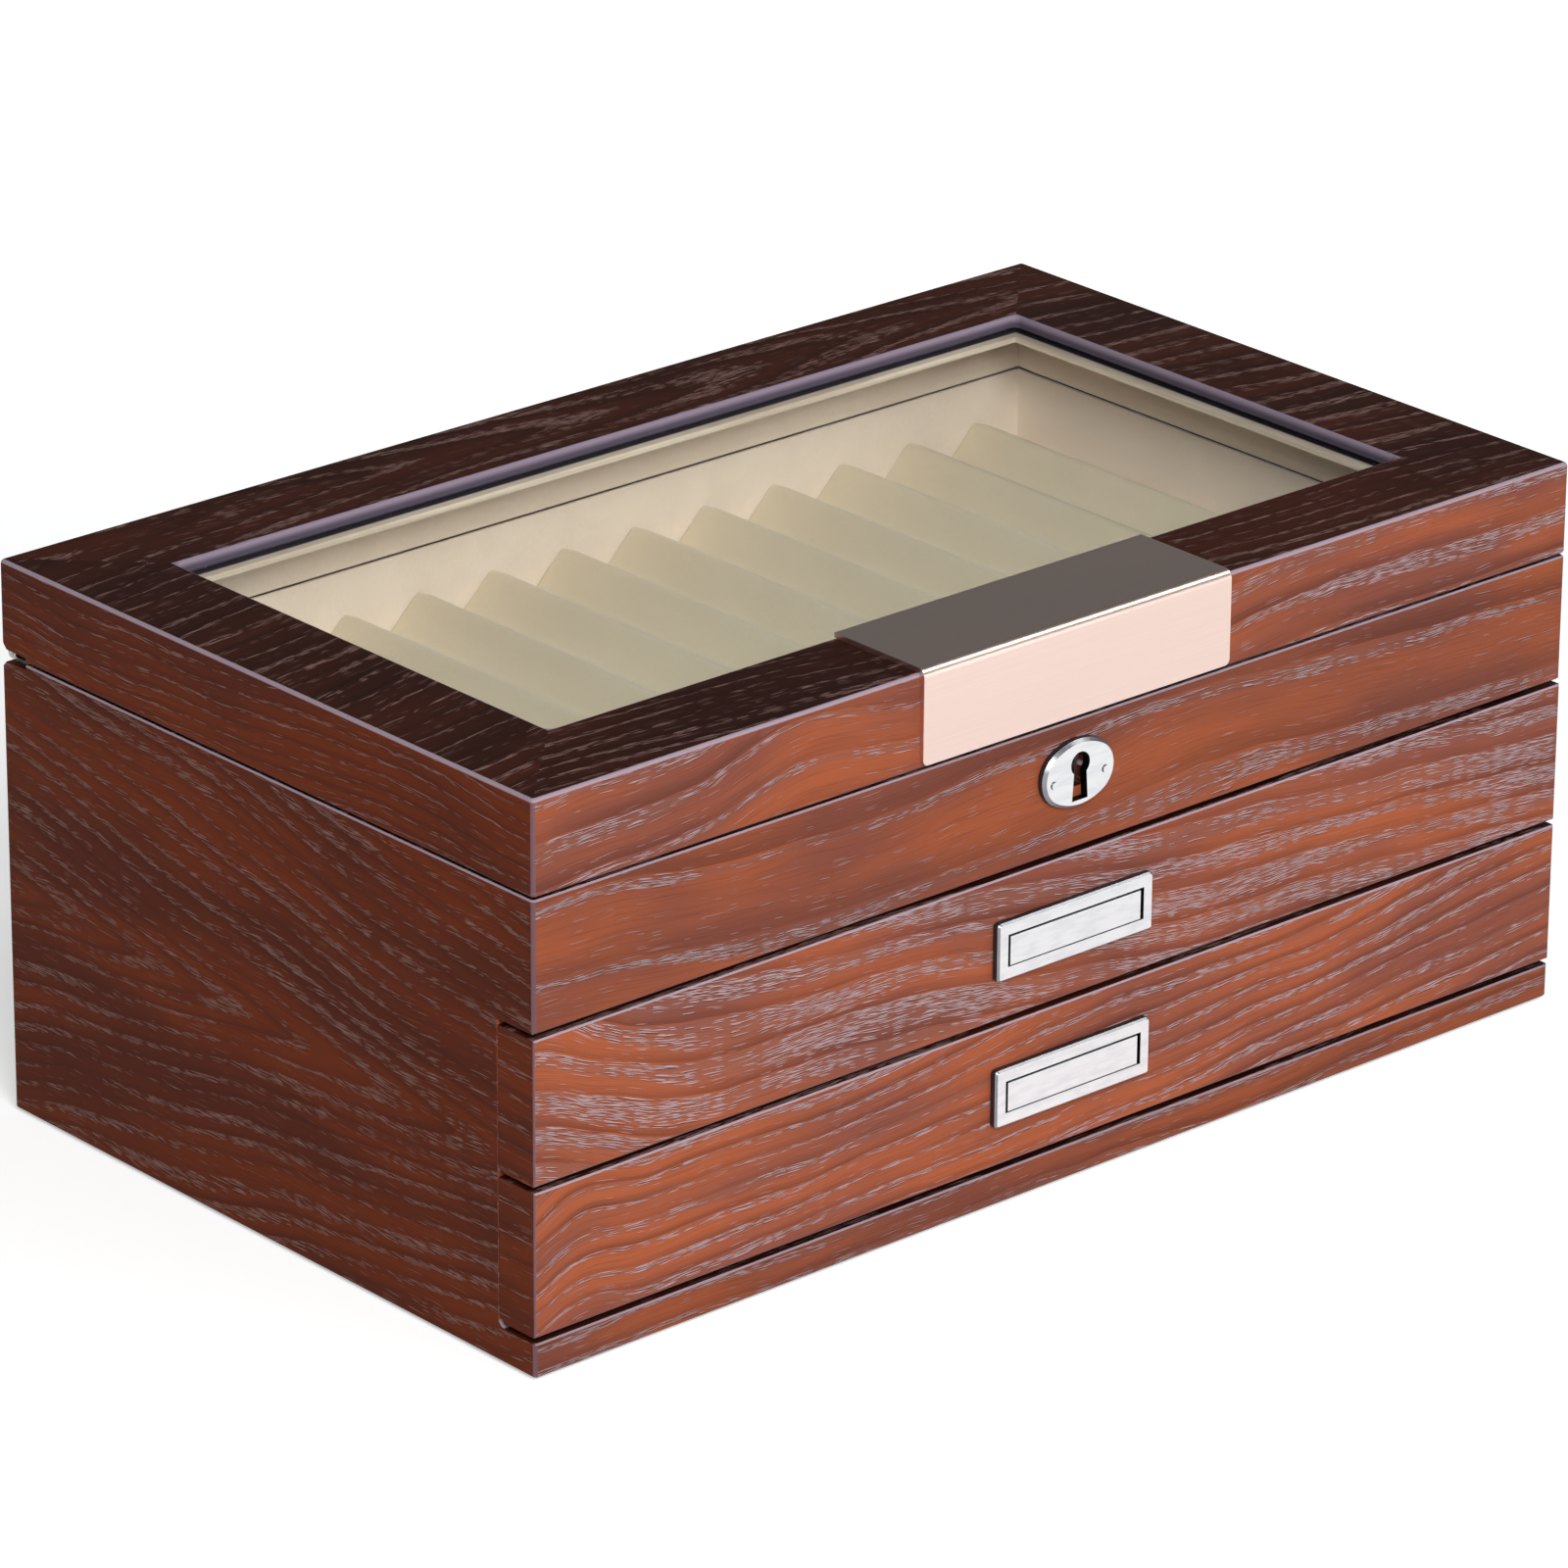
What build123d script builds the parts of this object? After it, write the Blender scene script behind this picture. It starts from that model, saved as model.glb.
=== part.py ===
"""Glazed pen chest: a lidded top tray over two drawers, in stained ash.

Millimetres, +Z up, front towards -Y. The origin is the middle of the felt's underside.
"""

import os
from math import sqrt

from build123d import *

# Driving dimensions of the chest
length = 330.0              # outside, left to right
depth = 196.0               # outside, front to back
wall = 10.0                 # sides, back and front rails
felt_thickness = 1.0
felt_inset = 2.5            # felt edge in from the wood
base_height = 9.3           # strip below the lower drawer front
front_pitch = 37.65         # one drawer front and its seam
tray_height = 33.6          # solid part between the drawers and the lid
lid_height = 24.0
front_thickness = 12.5      # drawer fronts
front_seam = 1.5            # open seam above and below each drawer front
front_back_seam = 0.4       # behind a drawer front, to the sides
lid_seam = 0.7
edge_round = 1.2            # the case's upright corners and the lid's top edge
front_edge = 0.6            # round on the drawer fronts' edges
seam_chamfer = 0.4          # edges beside the seams
notch_round = 2.5           # inside corner that the lower front rests in
case_bottom_thickness = 4.0
tray_floor_thickness = 5.0
lining = 1.0                # suede on the inside faces
lining_fit = 0.05

# Lid window
rail_width = 29.75
flange_thickness = 6.0
glass_thickness = 3.0
glass_lap = 5.0             # rebate under the flange that holds the glass
glass_fit = 0.3
window_round = 2.0
window_edge = 1.0           # round along the window's top edge
bead_thickness = 1.5
bead_width = 9.0

# Pen rests
ridge_pitch = 23.2
ridge_crown = 1.6           # width of a ridge's top
ridge_height = 8.0
ridge_chamfer = 0.4
tray_rest_thickness = 8.8
drawer_rest_thickness = 4.0
rest_fit = 0.3

# Drawer boxes
drawer_gap = 1.0            # box side to case side
drawer_side_thickness = 8.0
drawer_side_height = 29.0
drawer_lift = 2.5           # box's lower edge above the front's lower edge
drawer_back_gap = 3.0       # box back to case back
drawer_bottom_thickness = 3.0
drawer_bottom_lift = 2.0    # bottom board above the box's lower edge
panel_groove = 4.0
panel_fit = 0.1
runner_reach = 4.2          # runner stands out of the case side
runner_height = 6.0
runner_lift = 14.0          # runner's lower edge above the box's lower edge
runner_fit = 0.3
groove_depth = 3.8          # runner groove in the box side

# Drop pulls
pull_width = 50.0
pull_height = 14.8
pull_proud = 2.0
pull_corner = 1.0
pull_chamfer = 0.5
flap_width = 42.0
flap_height = 7.8
flap_thickness = 1.6
flap_offset = 0.1           # flap's middle above the plate's middle
flap_recess = 0.2           # flap face behind the plate face
flap_side_gap = 0.9
flap_end_gap = 0.2
trunnion_radius = 0.5
trunnion_fit = 0.05
trunnion_length = 1.2
cup_depth = 6.0
cup_wall = 0.8
cup_ledge = 1.2             # ledge behind the flap's lower edge
cup_fit = 0.2

# Continuous hinge
hinge_inset = 2.0           # hinge's ends in from the chest's sides
knuckle_count = 11
barrel_radius = 1.5
barrel_proud = 0.2          # barrel beyond the chest's back face
barrel_gap = 0.16           # barrel to the chamfers beside it
leaf_thickness = 0.8
leaf_width = 6.4
leaf_edge_gap = 0.3         # leaf's edge to the other leaf's knuckles
leaf_fit = 0.1
knuckle_gap = 0.3
pin_radius = 0.65
pin_fit = 0.05
hinge_screw_count = 5

# Screws
screw_radius = 0.7
screw_head_radius = 1.4
screw_rim = 0.1             # upright edge of a countersunk head
screw_fit = 0.05
screw_length = 7.0
screw_sides = 12            # flats round these small screws and their holes

# Box lock
lock_width = 40.0
lock_thickness = 5.8
lock_depth = 22.0
lock_wall = 0.6
lock_fit = 0.1
selvedge_length = 60.0
selvedge_width = 7.6
selvedge_thickness = 1.5
lug_thickness = 2.0
lug_width = 4.0
lug_drop = 4.2              # lug below the selvedge
lug_window_width = 2.2
lug_window_height = 2.4
lug_window_drop = 0.8       # window's top below the selvedge
lug_fit = 0.5
strike_length = 48.0
bolt_travel = 4.0
bolt_fit = 0.3
bolt_bar_height = 1.4
bolt_finger_width = 1.8
bolt_finger_height = 2.0
bolt_finger_drop = 1.0
bolt_riser = 3.0            # width of the riser behind each finger
bolt_finger_reach = 3.5     # finger past its riser
bolt_tab_width = 2.0
bolt_tab_height = 6.0
guide_radius = 1.0
guide_gap = 0.2

# Escutcheon and keyhole
escutcheon_width = 23.0
escutcheon_height = 17.0
escutcheon_thickness = 2.2
escutcheon_end_radius = 7.4 # the oval's tighter ends
escutcheon_chamfer = 0.8
escutcheon_drop = 12.85     # its middle below the case's top edge
keyhole_radius = 3.0
keyhole_rise = 2.5          # round part's middle above the escutcheon's middle
keyhole_drop = 9.1          # slot's foot below the round part's middle
keyhole_neck = 3.7
keyhole_foot = 5.0
bore_radius = 3.4           # hole in the wood behind the keyhole
bore_drop = 6.5             # wood's slot is shorter than the metal's
bore_slot = 5.4
escutcheon_pin_radius = 1.0
escutcheon_pin_spacing = 16.4
escutcheon_pin_drop = 1.0
escutcheon_pin_seat = 1.7   # pin in the wood
escutcheon_pin_proud = 0.3

# Stainless plate over the lid's front rail
plate_width = 98.0
plate_thickness = 1.2
plate_bend = 1.0            # inside radius of the bend
plate_rise = 0.9            # lower edge above the lid's lower edge
plate_corner = 1.5

# Worked out from the sizes above
over = 2.0                  # cutting shapes run past the wood by this much
half_x = length / 2
half_y = depth / 2
bay_x = half_x - wall
bay_y = half_y - wall
front_face = -half_y
front_back = front_face + front_thickness
wood_z = felt_thickness
lower_seam = wood_z + base_height
middle_seam = lower_seam + front_pitch
upper_seam = middle_seam + front_pitch
seam_z = upper_seam + tray_height
case_top = seam_z - lid_seam / 2
lid_bottom = seam_z + lid_seam / 2
lid_top = seam_z + lid_height
rail_bottom = upper_seam + front_seam / 2
strip_top = lower_seam - front_seam / 2
tray_floor_top = rail_bottom + tray_floor_thickness
window_x = half_x - rail_width
window_y = half_y - rail_width
flange_bottom = lid_top - flange_thickness
ridge_base = ridge_crown + 2 * ridge_height
rail_middle = -half_y + wall / 2
lug_x = (lock_width / 2 - lock_wall - bolt_fit - bolt_riser - bolt_finger_reach
         - lug_fit - lug_thickness / 2)
lug_spacing = 2 * lug_x

UP = (Align.CENTER, Align.CENTER, Align.MIN)
DOWN = (Align.CENTER, Align.CENTER, Align.MAX)
FRONT_UP = (Align.CENTER, Align.MIN, Align.MIN)
BACK_UP = (Align.CENTER, Align.MAX, Align.MIN)

os.makedirs("parts", exist_ok=True)


def save(piece, label):
    """Names a finished piece and writes it."""
    piece.part.label = label
    export_step(piece.part, f"parts/{label}.step")


def mitre_outline(side):
    """Plan outline of one side's share of the chest, bounded by the 45 degree mitres."""
    meet = half_x - half_y
    far_x = half_x + over
    far_y = half_y + over
    if side in ("left", "right"):
        sign = -1 if side == "left" else 1
        return [(sign * far_x, -far_y), (sign * far_x, far_y), (sign * meet, 0)]
    sign = -1 if side == "front" else 1
    return [(-far_x, sign * far_y), (far_x, sign * far_y), (meet, 0), (-meet, 0)]


def mitred_wall(side, low, high):
    """One wall of the box between two heights, its outer edges eased and its ends mitred."""
    with BuildPart() as ring:
        with BuildSketch(Plane.XY.offset(low)):
            RectangleRounded(length, depth, edge_round)
            Rectangle(2 * bay_x, 2 * bay_y, mode=Mode.SUBTRACT)
        extrude(amount=high - low)
        rims = ring.faces().sort_by(Axis.Z)[0].outer_wire().edges()
        rims += ring.faces().sort_by(Axis.Z)[-1].outer_wire().edges()
        chamfer(rims, seam_chamfer)
        with BuildSketch(Plane.XY.offset(low)):
            with BuildLine():
                Polyline(*mitre_outline(side), close=True)
            make_face()
        extrude(amount=high - low, mode=Mode.INTERSECT)
    return ring.part


def lid_rail(side):
    """One L-shaped lid rail: an upright wall, a flange over the tray and the glass rebate."""
    with BuildPart() as rail:
        with BuildSketch(Plane.XY.offset(lid_bottom)):
            Rectangle(length, depth)
            Rectangle(2 * bay_x, 2 * bay_y, mode=Mode.SUBTRACT)
        extrude(amount=lid_top - lid_bottom)
        with BuildSketch(Plane.XY.offset(flange_bottom)):
            Rectangle(length, depth)
            RectangleRounded(2 * window_x, 2 * window_y, window_round, mode=Mode.SUBTRACT)
        extrude(amount=flange_thickness)
        with BuildSketch(Plane.XY.offset(flange_bottom)):
            Rectangle(2 * (window_x + glass_lap), 2 * (window_y + glass_lap))
        extrude(amount=glass_thickness, mode=Mode.SUBTRACT)
        upright = [e for e in rail.edges().filter_by(Axis.Z) if abs(e.center().X) > half_x - edge_round]
        fillet(rail.faces().sort_by(Axis.Z)[-1].outer_wire().edges() + upright, edge_round)
        top_face = rail.faces().sort_by(Axis.Z)[-1]
        fillet(top_face.inner_wires()[0].edges(), window_edge)
        chamfer(rail.faces().sort_by(Axis.Z)[0].outer_wire().edges(), seam_chamfer)
        with BuildSketch(Plane.XY.offset(lid_bottom)):
            with BuildLine():
                Polyline(*mitre_outline(side), close=True)
            make_face()
        extrude(amount=lid_top - lid_bottom, mode=Mode.INTERSECT)
    return rail.part


# Seats for the hinge, the same in the case and, upside down, in the lid
hinge_length = length - 2 * hinge_inset
barrel_y = half_y + barrel_proud - barrel_radius
leaf_edge = barrel_y - barrel_radius - leaf_edge_gap
leaf_back = leaf_edge - leaf_width
leaf_middle = (leaf_edge + leaf_back) / 2
chamfer_start = barrel_y - sqrt(2) * (barrel_radius + barrel_gap) + barrel_radius
screw_step = hinge_length / hinge_screw_count


def hinge_seat(way):
    """Section cut from the back edge: a leaf recess and a chamfer. way is -1 in the case, +1 in the lid."""
    floor = seam_z + way * barrel_radius
    beyond = half_y + over
    with BuildSketch() as seat:
        with BuildLine():
            Polyline(
                (leaf_back - leaf_fit, floor),
                (chamfer_start, floor),
                (beyond, floor + way * (beyond - chamfer_start)),
                (beyond, seam_z - way * over),
                (leaf_back - leaf_fit, seam_z - way * over),
                close=True,
            )
        make_face()
    return seat.sketch


def leaf_screw_planes(way):
    """Where the hinge screws' heads lie, facing the seam."""
    surface = seam_z + way * (barrel_radius - leaf_thickness)
    first = -(hinge_screw_count - 1) / 2
    spots = [(first + n) * screw_step for n in range(hinge_screw_count)]
    return [Plane(origin=(x, leaf_middle, surface), z_dir=(0, 0, -way)) for x in spots]


def screw_shapes(planes, fit, sunk=True):
    """Countersunk screws, one on each plane with its head flush, or their holes when fit is a clearance."""
    sink = screw_head_radius - screw_radius
    with BuildPart() as screw:
        if sunk:
            with BuildSketch():
                RegularPolygon(screw_head_radius + fit, screw_sides)
            extrude(amount=-(sink + screw_rim))
            chamfer(screw.faces().sort_by(Axis.Z)[0].edges(), sink)
        with BuildSketch():
            RegularPolygon(screw_radius + fit, screw_sides)
        extrude(amount=-(screw_length + fit))
    with BuildPart() as shapes:
        with Locations(*planes):
            add(screw.part)
    return shapes


def hinge_leaf(way, first):
    """A leaf with every second knuckle, from the first one given."""
    pitch = hinge_length / knuckle_count
    low = seam_z + way * barrel_radius
    high = seam_z + way * (barrel_radius - leaf_thickness)
    with BuildPart() as leaf:
        with BuildSketch(Plane.XY.offset(min(low, high))):
            with Locations((0, leaf_middle)):
                Rectangle(hinge_length, leaf_width)
        extrude(amount=leaf_thickness)
        for n in range(first, knuckle_count, 2):
            start = -hinge_length / 2 + n * pitch + knuckle_gap / 2
            with BuildSketch(Plane.YZ.offset(start)):
                with Locations((barrel_y, seam_z)):
                    Circle(barrel_radius)
                with Locations(((leaf_middle + barrel_y) / 2, (low + high) / 2)):
                    Rectangle(barrel_y - leaf_middle, leaf_thickness)
            extrude(amount=pitch - knuckle_gap)
        with BuildSketch(Plane.YZ.offset(-hinge_length / 2)):
            with Locations((barrel_y, seam_z)):
                Circle(pin_radius + pin_fit)
        extrude(amount=hinge_length, mode=Mode.SUBTRACT)
        add(screw_shapes(leaf_screw_planes(way), screw_fit).part, mode=Mode.SUBTRACT)
    return leaf


# Keyhole outline about the middle of its round part, drawn on the front
escutcheon_z = case_top - escutcheon_drop
keyhole_z = escutcheon_z + keyhole_rise


def keyhole(radius, drop, neck, foot):
    """A round hole with a slot below it that widens to its foot."""
    with BuildSketch() as hole:
        Circle(radius)
        with BuildLine():
            Polyline((-neck / 2, 0), (neck / 2, 0), (foot / 2, -drop), (-foot / 2, -drop), close=True)
        make_face()
    return hole.sketch


# Case walls
for side in ("left", "right"):
    with BuildPart() as case_side:
        add(mitred_wall(side, wood_z, case_top))
        with BuildSketch(Plane.YZ) as notch:
            with Locations((front_face - over, strip_top)):
                Rectangle(front_thickness + front_back_seam + over, rail_bottom - strip_top,
                          align=(Align.MIN, Align.MIN))
            inner_corners = notch.vertices().group_by(Axis.X)[-1]
            fillet(inner_corners.sort_by(Axis.Y)[0], notch_round)
        extrude(amount=half_x + over, both=True, mode=Mode.SUBTRACT)
        with BuildSketch(Plane.YZ):
            add(hinge_seat(-1))
        extrude(amount=half_x + over, both=True, mode=Mode.SUBTRACT)
    save(case_side, f"case_side_{side}")

with BuildPart() as case_back:
    add(mitred_wall("back", wood_z, case_top))
    with BuildSketch(Plane.YZ):
        add(hinge_seat(-1))
    extrude(amount=half_x + over, both=True, mode=Mode.SUBTRACT)
    add(screw_shapes(leaf_screw_planes(-1), screw_fit, sunk=False).part, mode=Mode.SUBTRACT)
save(case_back, "case_back")

lock_top = case_top - selvedge_thickness
lock_screw_x = (selvedge_length + lock_width) / 4
lock_planes = [Plane(origin=(x, rail_middle, case_top)) for x in (-lock_screw_x, lock_screw_x)]
with BuildPart() as front_rail:
    add(mitred_wall("front", rail_bottom, case_top))
    with Locations((0, rail_middle, case_top + over)):
        Box(selvedge_length + 2 * lock_fit, selvedge_width + 2 * lock_fit,
            selvedge_thickness + over, align=DOWN, mode=Mode.SUBTRACT)
        Box(lock_width + 2 * lock_fit, lock_thickness + 2 * lock_fit,
            selvedge_thickness + lock_depth + lock_fit + over, align=DOWN, mode=Mode.SUBTRACT)
    with BuildSketch(Plane.XZ.offset(half_y + over)):
        with Locations((0, keyhole_z)):
            add(keyhole(bore_radius, bore_drop, bore_slot, bore_slot))
    extrude(amount=-(wall / 2 + over), mode=Mode.SUBTRACT)
    with BuildSketch(Plane.XZ.offset(half_y)):
        with Locations((0, escutcheon_z - escutcheon_pin_drop)):
            with GridLocations(escutcheon_pin_spacing, 1, 2, 1):
                Circle(escutcheon_pin_radius)
    extrude(amount=-escutcheon_pin_seat, mode=Mode.SUBTRACT)
    add(screw_shapes(lock_planes, screw_fit, sunk=False).part, mode=Mode.SUBTRACT)
save(front_rail, "front_rail")

with BuildPart() as base_rail:
    add(mitred_wall("front", wood_z, strip_top))
save(base_rail, "base_rail")

with BuildPart() as case_bottom:
    with Locations((0, 0, wood_z)):
        Box(2 * bay_x, 2 * bay_y, case_bottom_thickness, align=UP)
save(case_bottom, "case_bottom")

with BuildPart() as tray_floor:
    with Locations((0, 0, rail_bottom)):
        Box(2 * bay_x, 2 * bay_y, tray_floor_thickness, align=UP)
save(tray_floor, "tray_floor")

with BuildPart() as base_felt:
    with BuildSketch():
        RectangleRounded(length - 2 * felt_inset, depth - 2 * felt_inset, felt_inset)
    extrude(amount=felt_thickness)
save(base_felt, "base_felt")


def lining_strips(inner_x, inner_y, low, high):
    """Four strips of lining that cover the inside faces of a box."""
    with BuildPart() as strips:
        with Locations((0, 0, low)):
            with GridLocations(1, 2 * inner_y - lining, 1, 2):
                Box(2 * inner_x, lining, high - low, align=UP)
            with GridLocations(2 * inner_x - lining, 1, 2, 1):
                Box(lining, 2 * (inner_y - lining - lining_fit), high - low, align=UP)
    return strips


def ridges(inner_x, front, back, low):
    """Ridges of a pen rest, as many as fit between the linings."""
    count = int((2 * inner_x - ridge_base) // ridge_pitch) + 1
    with BuildPart() as rows:
        with BuildSketch(Plane.XZ.offset(-front)) as profile:
            with Locations((0, low)):
                with GridLocations(ridge_pitch, 1, count, 1):
                    Trapezoid(ridge_base, ridge_height, 45, align=(Align.CENTER, Align.MIN))
            chamfer(profile.vertices().group_by(Axis.Y)[-1], ridge_chamfer)
        extrude(amount=-(back - front))
    return rows


def rest_board(inner_x, front, back, low, thickness):
    """The padded board that carries a pen rest's ridges."""
    with BuildPart() as board:
        with Locations((0, front, low)):
            Box(2 * inner_x, back - front, thickness, align=FRONT_UP)
    return board


# Top tray
save(lining_strips(bay_x, bay_y, tray_floor_top, case_top), "tray_lining")
tray_rest_x = bay_x - lining - rest_fit
tray_rest_y = bay_y - lining - rest_fit
tray_valley = tray_floor_top + tray_rest_thickness
save(rest_board(tray_rest_x, -tray_rest_y, tray_rest_y, tray_floor_top, tray_rest_thickness),
     "tray_rest_board")
save(ridges(tray_rest_x, -tray_rest_y, tray_rest_y, tray_valley), "tray_rest_ridges")

# Lid
for side in ("left", "right"):
    with BuildPart() as side_rail:
        add(lid_rail(side))
        with BuildSketch(Plane.YZ):
            add(hinge_seat(1))
        extrude(amount=half_x + over, both=True, mode=Mode.SUBTRACT)
    save(side_rail, f"lid_rail_{side}")

with BuildPart() as lid_rail_back:
    add(lid_rail("back"))
    with BuildSketch(Plane.YZ):
        add(hinge_seat(1))
    extrude(amount=half_x + over, both=True, mode=Mode.SUBTRACT)
    add(screw_shapes(leaf_screw_planes(1), screw_fit, sunk=False).part, mode=Mode.SUBTRACT)
save(lid_rail_back, "lid_rail_back")

strike_screw_x = (strike_length + lug_spacing + lug_thickness) / 4
strike_planes = [Plane(origin=(x, rail_middle, lid_bottom), z_dir=(0, 0, -1))
                 for x in (-strike_screw_x, strike_screw_x)]
with BuildPart() as lid_rail_front:
    add(lid_rail("front"))
    with Locations((0, rail_middle, lid_bottom - over)):
        Box(strike_length + 2 * lock_fit, selvedge_width + 2 * lock_fit,
            selvedge_thickness + over, align=UP, mode=Mode.SUBTRACT)
    add(screw_shapes(strike_planes, screw_fit, sunk=False).part, mode=Mode.SUBTRACT)
save(lid_rail_front, "lid_rail_front")

glass_x = window_x + glass_lap - glass_fit
glass_y = window_y + glass_lap - glass_fit
with BuildPart() as lid_glass:
    with Locations((0, 0, flange_bottom)):
        Box(2 * glass_x, 2 * glass_y, glass_thickness, align=UP)
    chamfer(lid_glass.edges().filter_by(Axis.Z), glass_fit)
save(lid_glass, "lid_glass")

with BuildPart() as lid_glass_beads:
    bead_x = window_x + bead_width
    bead_y = window_y + bead_width
    with Locations((0, 0, flange_bottom)):
        with GridLocations(1, 2 * bead_y - bead_width, 1, 2):
            Box(2 * bead_x, bead_width, bead_thickness, align=DOWN)
        with GridLocations(2 * bead_x - bead_width, 1, 2, 1):
            Box(bead_width, 2 * (window_y - lining_fit), bead_thickness, align=DOWN)
save(lid_glass_beads, "lid_glass_beads")

save(lining_strips(bay_x, bay_y, lid_bottom, flange_bottom), "lid_lining")

with BuildPart() as lid_plate:
    plate_foot = lid_bottom + plate_rise
    with BuildSketch(Plane.YZ.offset(-plate_width / 2)) as section:
        with Locations((front_face - plate_thickness, lid_top + plate_thickness)):
            Rectangle(rail_width + plate_thickness, lid_top + plate_thickness - plate_foot,
                      align=(Align.MIN, Align.MAX))
        fillet(section.vertices().group_by(Axis.X)[0].sort_by(Axis.Y)[-1], plate_bend + plate_thickness)
        with Locations((front_face, lid_top)):
            Rectangle(rail_width + over, lid_top - plate_foot + over,
                      align=(Align.MIN, Align.MAX), mode=Mode.SUBTRACT)
    extrude(amount=plate_width)
    foot_corners = lid_plate.edges().filter_by(Axis.Y).group_by(Axis.Z)[0]
    fillet(foot_corners, plate_corner)
save(lid_plate, "lid_plate")

# Box lock in the front rails
with BuildPart() as lock_case:
    with Locations((0, rail_middle, case_top)):
        Box(selvedge_length, selvedge_width, selvedge_thickness, align=DOWN)
    with Locations((0, rail_middle, lock_top)):
        Box(lock_width, lock_thickness, lock_depth, align=DOWN)
        Box(lock_width - 2 * lock_wall, lock_thickness - 2 * lock_wall,
            lock_depth - lock_wall, align=DOWN, mode=Mode.SUBTRACT)
    with Locations((0, rail_middle, case_top)):
        with GridLocations(lug_spacing, 1, 2, 1):
            Box(lug_thickness + 2 * lug_fit, lug_width + lug_fit, 2 * selvedge_thickness,
                mode=Mode.SUBTRACT)
    with BuildSketch(Plane.XZ.offset(half_y)):
        with Locations((0, keyhole_z)):
            add(keyhole(keyhole_radius, keyhole_drop, keyhole_neck, keyhole_foot))
    extrude(amount=-wall / 2, mode=Mode.SUBTRACT)
    bar_bottom = lock_top - lug_drop - 2 * guide_gap - bolt_bar_height
    with BuildSketch(Plane.XZ.offset(half_y - wall / 2)):
        with Locations((0, bar_bottom - guide_gap - guide_radius)):
            with GridLocations(lug_spacing, 1, 2, 1):
                Circle(guide_radius)
    extrude(amount=lock_thickness / 2, both=True)
    add(screw_shapes(lock_planes, screw_fit).part, mode=Mode.SUBTRACT)
save(lock_case, "lock_case")
save(screw_shapes(lock_planes, 0), "lock_screws")

with BuildPart() as lock_bolt:
    bar_end = lock_width / 2 - lock_wall - bolt_fit
    bar_thickness = lock_thickness - 2 * lock_wall - 2 * bolt_fit
    with BuildSketch(Plane.XZ.offset(half_y - wall / 2)):
        with Locations((-bar_end, bar_bottom)):
            Rectangle(2 * bar_end - bolt_travel, bolt_bar_height, align=(Align.MIN, Align.MIN))
        with Locations((0, bar_bottom)):
            with GridLocations(2 * (keyhole_radius + bolt_fit) + bolt_tab_width, 1, 2, 1):
                Rectangle(bolt_tab_width, bolt_tab_height, align=(Align.CENTER, Align.MAX))
    extrude(amount=bar_thickness / 2, both=True)
    finger_top = lock_top - bolt_finger_drop
    with BuildSketch(Plane.XZ.offset(half_y - wall / 2)):
        for lug in (-lug_x, lug_x):
            tip = lug - lug_thickness / 2 - lug_fit
            with Locations((tip, finger_top)):
                Rectangle(bolt_finger_reach + bolt_riser, bolt_finger_height, align=(Align.MAX, Align.MAX))
            with Locations((tip - bolt_finger_reach, finger_top)):
                Rectangle(bolt_riser, finger_top - bar_bottom, align=(Align.MAX, Align.MAX))
    extrude(amount=bolt_finger_width / 2, both=True)
save(lock_bolt, "lock_bolt")

with BuildPart() as strike_plate:
    with Locations((0, rail_middle, lid_bottom)):
        Box(strike_length, selvedge_width, selvedge_thickness, align=UP)
        with GridLocations(lug_spacing, 1, 2, 1):
            Box(lug_thickness, lug_width, lid_bottom - lock_top + lug_drop, align=DOWN)
    with Locations((0, rail_middle, lock_top - lug_window_drop)):
        Box(lug_spacing + 2 * lug_thickness, lug_window_width, lug_window_height,
            align=DOWN, mode=Mode.SUBTRACT)
    add(screw_shapes(strike_planes, screw_fit).part, mode=Mode.SUBTRACT)
save(strike_plate, "strike_plate")
save(screw_shapes(strike_planes, 0), "strike_screws")

# Escutcheon
def oval(width, height, end_radius):
    """An oval of four arcs, its ends tighter than its long sides."""
    end_centre = width / 2 - end_radius
    rise = height / 2
    side_radius = (end_centre ** 2 + rise ** 2 - end_radius ** 2) / (2 * (rise - end_radius))
    join = side_radius / (side_radius - end_radius)
    join_x = end_centre * join
    join_z = (side_radius - rise) * (join - 1)
    with BuildSketch() as outline:
        with BuildLine():
            ThreePointArc((join_x, -join_z), (width / 2, 0), (join_x, join_z))
            ThreePointArc((join_x, join_z), (0, rise), (-join_x, join_z))
            ThreePointArc((-join_x, join_z), (-width / 2, 0), (-join_x, -join_z))
            ThreePointArc((-join_x, -join_z), (0, -rise), (join_x, -join_z))
        make_face()
    return outline.sketch


with BuildPart() as escutcheon:
    with BuildSketch(Plane.XZ.offset(half_y)):
        with Locations((0, escutcheon_z)):
            add(oval(escutcheon_width, escutcheon_height, escutcheon_end_radius))
    extrude(amount=escutcheon_thickness)
    chamfer(escutcheon.faces().sort_by(Axis.Y)[0].edges(), escutcheon_chamfer)
    with BuildSketch(Plane.XZ.offset(half_y)):
        with Locations((0, keyhole_z)):
            add(keyhole(keyhole_radius, keyhole_drop, keyhole_neck, keyhole_foot))
        with Locations((0, escutcheon_z - escutcheon_pin_drop)):
            with GridLocations(escutcheon_pin_spacing, 1, 2, 1):
                Circle(escutcheon_pin_radius)
    extrude(amount=escutcheon_thickness, mode=Mode.SUBTRACT)
save(escutcheon, "escutcheon")

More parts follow.
